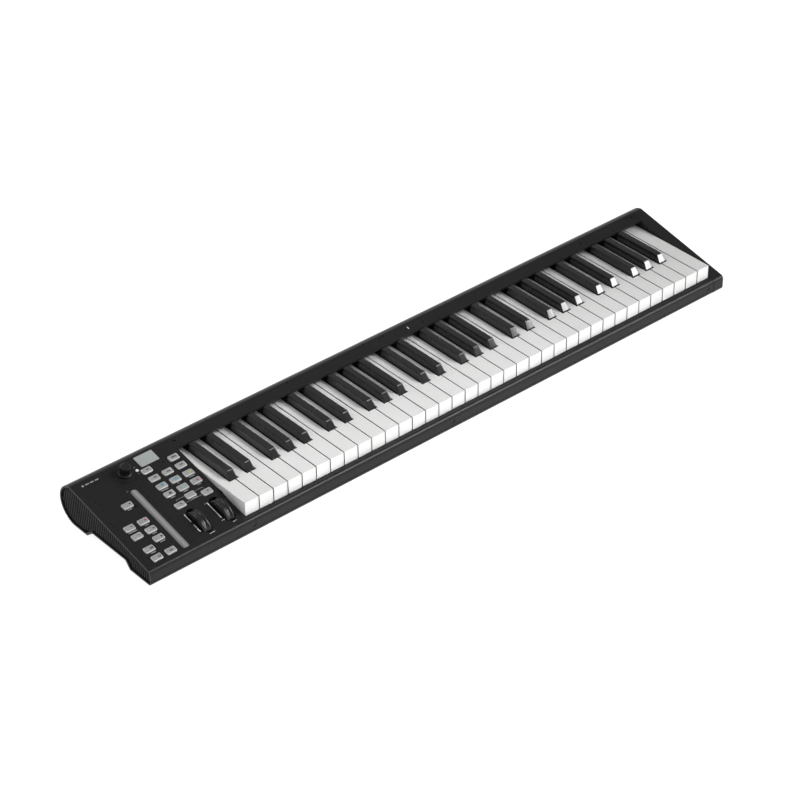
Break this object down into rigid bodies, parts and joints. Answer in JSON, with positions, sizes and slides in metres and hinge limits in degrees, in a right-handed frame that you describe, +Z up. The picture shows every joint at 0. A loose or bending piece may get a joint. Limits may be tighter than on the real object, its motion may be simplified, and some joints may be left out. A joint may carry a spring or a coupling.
{
  "type": "keyboard synthesizer",
  "caption": "Long black keyboard controller with white and black piano keys, a sloping control panel with grey buttons, a knob, a touch strip and two performance wheels.",
  "frame": {"origin": "on the standing surface, under the middle of the case's box", "axes": "+X along the keys towards the high notes, +Y from the player towards the back, +Z up"},
  "size_m": [1.025, 0.195, 0.0742],
  "materials": {
    "case_plastic": "fine textured",
    "end_plastic": "ribbed satin",
    "white_key": "polished",
    "black_key": "semi-gloss",
    "button_rubber": "satin",
    "wheel_plastic": "gloss",
    "knob_plastic": "satin",
    "strip_plastic": "satin",
    "display_window": "clear over grey",
    "foot_rubber": "matte",
    "contact_rubber": "matte",
    "stop_felt": "felt",
    "bracket_steel": "zinc plated",
    "axle_steel": "ground",
    "circuit_board": "solder mask",
    "socket_plastic": "moulded"
  },
  "bodies": {
    "case": {"bottom_case": "case_plastic", "top_cover": "case_plastic", "left_end_cap": "end_plastic", "right_end_cap": "case_plastic", "front_left_foot": "foot_rubber", "front_right_foot": "foot_rubber", "rear_left_foot": "foot_rubber", "rear_right_foot": "foot_rubber", "socket_block": "socket_plastic", "main_board": "circuit_board", "display": "display_window", "touch_strip": "strip_plastic", "encoder": "bracket_steel", "wheel_axle": "axle_steel", "wheel_cradle": "bracket_steel", "keybed_chassis": "bracket_steel", "key_stop_felt": "stop_felt", "contact_board": "circuit_board", "contact_strip": "contact_rubber"},
    "encoder_knob": {"encoder_knob": "knob_plastic"},
    "pitch_wheel": {"pitch_wheel": "wheel_plastic"},
    "mod_wheel": {"mod_wheel": "wheel_plastic"},
    "select_buttons": {"select_buttons": "button_rubber"},
    "edit_buttons": {"edit_buttons": "button_rubber"},
    "assign_buttons": {"assign_buttons": "button_rubber"},
    "octave_down_button": {"octave_down_button": "button_rubber"},
    "octave_up_button": {"octave_up_button": "button_rubber"},
    "shift_button": {"shift_button": "button_rubber"},
    "loop_button": {"loop_button": "button_rubber"},
    "record_button": {"record_button": "button_rubber"},
    "rewind_button": {"rewind_button": "button_rubber"},
    "forward_button": {"forward_button": "button_rubber"},
    "click_button": {"click_button": "button_rubber"},
    "stop_button": {"stop_button": "button_rubber"},
    "return_button": {"return_button": "button_rubber"},
    "play_button": {"play_button": "button_rubber"},
    "keys_ceg_octave1": {"keys_ceg_octave1": "white_key"},
    "keys_dfa_octave1": {"keys_dfa_octave1": "white_key"},
    "keys_sharps_octave1": {"keys_sharps_octave1": "black_key"},
    "keys_ceg_octave2": {"keys_ceg_octave2": "white_key"},
    "keys_dfa_octave2": {"keys_dfa_octave2": "white_key"},
    "keys_sharps_octave2": {"keys_sharps_octave2": "black_key"},
    "key_c3": {"key_c3": "white_key"},
    "key_d3": {"key_d3": "white_key"},
    "key_e3": {"key_e3": "white_key"},
    "key_f3": {"key_f3": "white_key"},
    "key_g3": {"key_g3": "white_key"},
    "key_a3": {"key_a3": "white_key"},
    "key_b3": {"key_b3": "white_key"},
    "key_c_sharp3": {"key_c_sharp3": "black_key"},
    "key_d_sharp3": {"key_d_sharp3": "black_key"},
    "key_f_sharp3": {"key_f_sharp3": "black_key"},
    "key_g_sharp3": {"key_g_sharp3": "black_key"},
    "key_a_sharp3": {"key_a_sharp3": "black_key"},
    "keys_ceg_octave4": {"keys_ceg_octave4": "white_key"},
    "keys_dfa_octave4": {"keys_dfa_octave4": "white_key"},
    "keys_sharps_octave4": {"keys_sharps_octave4": "black_key"},
    "keys_ceg_octave5": {"keys_ceg_octave5": "white_key"},
    "keys_dfa_octave5": {"keys_dfa_octave5": "white_key"},
    "keys_sharps_octave5": {"keys_sharps_octave5": "black_key"}
  },
  "joints": [
    {"name": "keys_ceg_octave1_press", "type": "hinge", "parent": "case", "child": "keys_ceg_octave1", "pos_m": [-0.27225, 0.0735, 0.0415], "axis": [1, 0, 0], "range_deg": [0, 3.58], "stiffness_Nm_per_rad": 1.2, "springref_deg": -20.05},
    {"name": "keys_dfa_octave1_press", "type": "hinge", "parent": "case", "child": "keys_dfa_octave1", "pos_m": [-0.27225, 0.0735, 0.0415], "axis": [1, 0, 0], "range_deg": [0, 3.58], "stiffness_Nm_per_rad": 0.9, "springref_deg": -20.05},
    {"name": "keys_sharps_octave1_press", "type": "hinge", "parent": "case", "child": "keys_sharps_octave1", "pos_m": [-0.27225, 0.0735, 0.0415], "axis": [1, 0, 0], "range_deg": [0, 4.65], "stiffness_Nm_per_rad": 1.5, "springref_deg": -20.05},
    {"name": "keys_ceg_octave2_press", "type": "hinge", "parent": "case", "child": "keys_ceg_octave2", "pos_m": [-0.10775, 0.0735, 0.0415], "axis": [1, 0, 0], "range_deg": [0, 3.58], "stiffness_Nm_per_rad": 1.2, "springref_deg": -20.05},
    {"name": "keys_dfa_octave2_press", "type": "hinge", "parent": "case", "child": "keys_dfa_octave2", "pos_m": [-0.10775, 0.0735, 0.0415], "axis": [1, 0, 0], "range_deg": [0, 3.58], "stiffness_Nm_per_rad": 0.9, "springref_deg": -20.05},
    {"name": "keys_sharps_octave2_press", "type": "hinge", "parent": "case", "child": "keys_sharps_octave2", "pos_m": [-0.10775, 0.0735, 0.0415], "axis": [1, 0, 0], "range_deg": [0, 4.65], "stiffness_Nm_per_rad": 1.5, "springref_deg": -20.05},
    {"name": "key_c3_press", "type": "hinge", "parent": "case", "child": "key_c3", "pos_m": [-0.01375, 0.0735, 0.0415], "axis": [1, 0, 0], "range_deg": [0, 3.58], "stiffness_Nm_per_rad": 0.3, "springref_deg": -20.05},
    {"name": "key_d3_press", "type": "hinge", "parent": "case", "child": "key_d3", "pos_m": [0.00975, 0.0735, 0.0415], "axis": [1, 0, 0], "range_deg": [0, 3.58], "stiffness_Nm_per_rad": 0.3, "springref_deg": -20.05},
    {"name": "key_e3_press", "type": "hinge", "parent": "case", "child": "key_e3", "pos_m": [0.03325, 0.0735, 0.0415], "axis": [1, 0, 0], "range_deg": [0, 3.58], "stiffness_Nm_per_rad": 0.3, "springref_deg": -20.05},
    {"name": "key_f3_press", "type": "hinge", "parent": "case", "child": "key_f3", "pos_m": [0.05675, 0.0735, 0.0415], "axis": [1, 0, 0], "range_deg": [0, 3.58], "stiffness_Nm_per_rad": 0.3, "springref_deg": -20.05},
    {"name": "key_g3_press", "type": "hinge", "parent": "case", "child": "key_g3", "pos_m": [0.08025, 0.0735, 0.0415], "axis": [1, 0, 0], "range_deg": [0, 3.58], "stiffness_Nm_per_rad": 0.3, "springref_deg": -20.05},
    {"name": "key_a3_press", "type": "hinge", "parent": "case", "child": "key_a3", "pos_m": [0.10375, 0.0735, 0.0415], "axis": [1, 0, 0], "range_deg": [0, 3.58], "stiffness_Nm_per_rad": 0.3, "springref_deg": -20.05},
    {"name": "key_b3_press", "type": "hinge", "parent": "case", "child": "key_b3", "pos_m": [0.12725, 0.0735, 0.0415], "axis": [1, 0, 0], "range_deg": [0, 3.58], "stiffness_Nm_per_rad": 0.3, "springref_deg": -20.05},
    {"name": "key_c_sharp3_press", "type": "hinge", "parent": "case", "child": "key_c_sharp3", "pos_m": [-0.00435, 0.0735, 0.0415], "axis": [1, 0, 0], "range_deg": [0, 4.65], "stiffness_Nm_per_rad": 0.3, "springref_deg": -20.05},
    {"name": "key_d_sharp3_press", "type": "hinge", "parent": "case", "child": "key_d_sharp3", "pos_m": [0.02385, 0.0735, 0.0415], "axis": [1, 0, 0], "range_deg": [0, 4.65], "stiffness_Nm_per_rad": 0.3, "springref_deg": -20.05},
    {"name": "key_f_sharp3_press", "type": "hinge", "parent": "case", "child": "key_f_sharp3", "pos_m": [0.06514, 0.0735, 0.0415], "axis": [1, 0, 0], "range_deg": [0, 4.65], "stiffness_Nm_per_rad": 0.3, "springref_deg": -20.05},
    {"name": "key_g_sharp3_press", "type": "hinge", "parent": "case", "child": "key_g_sharp3", "pos_m": [0.092, 0.0735, 0.0415], "axis": [1, 0, 0], "range_deg": [0, 4.65], "stiffness_Nm_per_rad": 0.3, "springref_deg": -20.05},
    {"name": "key_a_sharp3_press", "type": "hinge", "parent": "case", "child": "key_a_sharp3", "pos_m": [0.11886, 0.0735, 0.0415], "axis": [1, 0, 0], "range_deg": [0, 4.65], "stiffness_Nm_per_rad": 0.3, "springref_deg": -20.05},
    {"name": "keys_ceg_octave4_press", "type": "hinge", "parent": "case", "child": "keys_ceg_octave4", "pos_m": [0.22125, 0.0735, 0.0415], "axis": [1, 0, 0], "range_deg": [0, 3.58], "stiffness_Nm_per_rad": 1.2, "springref_deg": -20.05},
    {"name": "keys_dfa_octave4_press", "type": "hinge", "parent": "case", "child": "keys_dfa_octave4", "pos_m": [0.22125, 0.0735, 0.0415], "axis": [1, 0, 0], "range_deg": [0, 3.58], "stiffness_Nm_per_rad": 0.9, "springref_deg": -20.05},
    {"name": "keys_sharps_octave4_press", "type": "hinge", "parent": "case", "child": "keys_sharps_octave4", "pos_m": [0.22125, 0.0735, 0.0415], "axis": [1, 0, 0], "range_deg": [0, 4.65], "stiffness_Nm_per_rad": 1.5, "springref_deg": -20.05},
    {"name": "keys_ceg_octave5_press", "type": "hinge", "parent": "case", "child": "keys_ceg_octave5", "pos_m": [0.38575, 0.0735, 0.0415], "axis": [1, 0, 0], "range_deg": [0, 3.58], "stiffness_Nm_per_rad": 1.5, "springref_deg": -20.05},
    {"name": "keys_dfa_octave5_press", "type": "hinge", "parent": "case", "child": "keys_dfa_octave5", "pos_m": [0.38575, 0.0735, 0.0415], "axis": [1, 0, 0], "range_deg": [0, 3.58], "stiffness_Nm_per_rad": 0.9, "springref_deg": -20.05},
    {"name": "keys_sharps_octave5_press", "type": "hinge", "parent": "case", "child": "keys_sharps_octave5", "pos_m": [0.38575, 0.0735, 0.0415], "axis": [1, 0, 0], "range_deg": [0, 4.65], "stiffness_Nm_per_rad": 1.5, "springref_deg": -20.05},
    {"name": "select_buttons_push", "type": "slide", "parent": "case", "child": "select_buttons", "axis": [0, 0.2137, -0.9769], "range_m": [0, 0.0012], "stiffness_N_per_m": 800, "springref_m": -0.001},
    {"name": "edit_buttons_push", "type": "slide", "parent": "case", "child": "edit_buttons", "axis": [0, 0.2137, -0.9769], "range_m": [0, 0.0012], "stiffness_N_per_m": 800, "springref_m": -0.001},
    {"name": "assign_buttons_push", "type": "slide", "parent": "case", "child": "assign_buttons", "axis": [0, 0.2137, -0.9769], "range_m": [0, 0.0012], "stiffness_N_per_m": 800, "springref_m": -0.001},
    {"name": "octave_down_button_push", "type": "slide", "parent": "case", "child": "octave_down_button", "axis": [0, 0.2137, -0.9769], "range_m": [0, 0.0012], "stiffness_N_per_m": 400, "springref_m": -0.001},
    {"name": "octave_up_button_push", "type": "slide", "parent": "case", "child": "octave_up_button", "axis": [0, 0.2137, -0.9769], "range_m": [0, 0.0012], "stiffness_N_per_m": 400, "springref_m": -0.001},
    {"name": "shift_button_push", "type": "slide", "parent": "case", "child": "shift_button", "axis": [0, 0.2137, -0.9769], "range_m": [0, 0.0012], "stiffness_N_per_m": 400, "springref_m": -0.001},
    {"name": "loop_button_push", "type": "slide", "parent": "case", "child": "loop_button", "axis": [0, 0.2137, -0.9769], "range_m": [0, 0.0012], "stiffness_N_per_m": 400, "springref_m": -0.001},
    {"name": "record_button_push", "type": "slide", "parent": "case", "child": "record_button", "axis": [0, 0.2137, -0.9769], "range_m": [0, 0.0012], "stiffness_N_per_m": 400, "springref_m": -0.001},
    {"name": "rewind_button_push", "type": "slide", "parent": "case", "child": "rewind_button", "axis": [0, 0.2137, -0.9769], "range_m": [0, 0.0012], "stiffness_N_per_m": 400, "springref_m": -0.001},
    {"name": "forward_button_push", "type": "slide", "parent": "case", "child": "forward_button", "axis": [0, 0.2137, -0.9769], "range_m": [0, 0.0012], "stiffness_N_per_m": 400, "springref_m": -0.001},
    {"name": "click_button_push", "type": "slide", "parent": "case", "child": "click_button", "axis": [0, 0.2137, -0.9769], "range_m": [0, 0.0012], "stiffness_N_per_m": 400, "springref_m": -0.001},
    {"name": "stop_button_push", "type": "slide", "parent": "case", "child": "stop_button", "axis": [0, 0.2137, -0.9769], "range_m": [0, 0.0012], "stiffness_N_per_m": 400, "springref_m": -0.001},
    {"name": "return_button_push", "type": "slide", "parent": "case", "child": "return_button", "axis": [0, 0.2137, -0.9769], "range_m": [0, 0.0012], "stiffness_N_per_m": 400, "springref_m": -0.001},
    {"name": "play_button_push", "type": "slide", "parent": "case", "child": "play_button", "axis": [0, 0.2137, -0.9769], "range_m": [0, 0.0012], "stiffness_N_per_m": 400, "springref_m": -0.001},
    {"name": "encoder_knob_turn", "type": "hinge", "parent": "case", "child": "encoder_knob", "pos_m": [-0.4403, 0.05256, 0.05706], "axis": [0, -0.2137, 0.9769], "continuous": true},
    {"name": "pitch_wheel_bend", "type": "hinge", "parent": "case", "child": "pitch_wheel", "pos_m": [-0.4088, -0.05875, 0.01838], "axis": [-1, 0, 0], "range_deg": [-28, 28], "stiffness_Nm_per_rad": 0.15},
    {"name": "mod_wheel_turn", "type": "hinge", "parent": "case", "child": "mod_wheel", "pos_m": [-0.3719, -0.05875, 0.01838], "axis": [-1, 0, 0], "range_deg": [0, 54]}
  ]
}
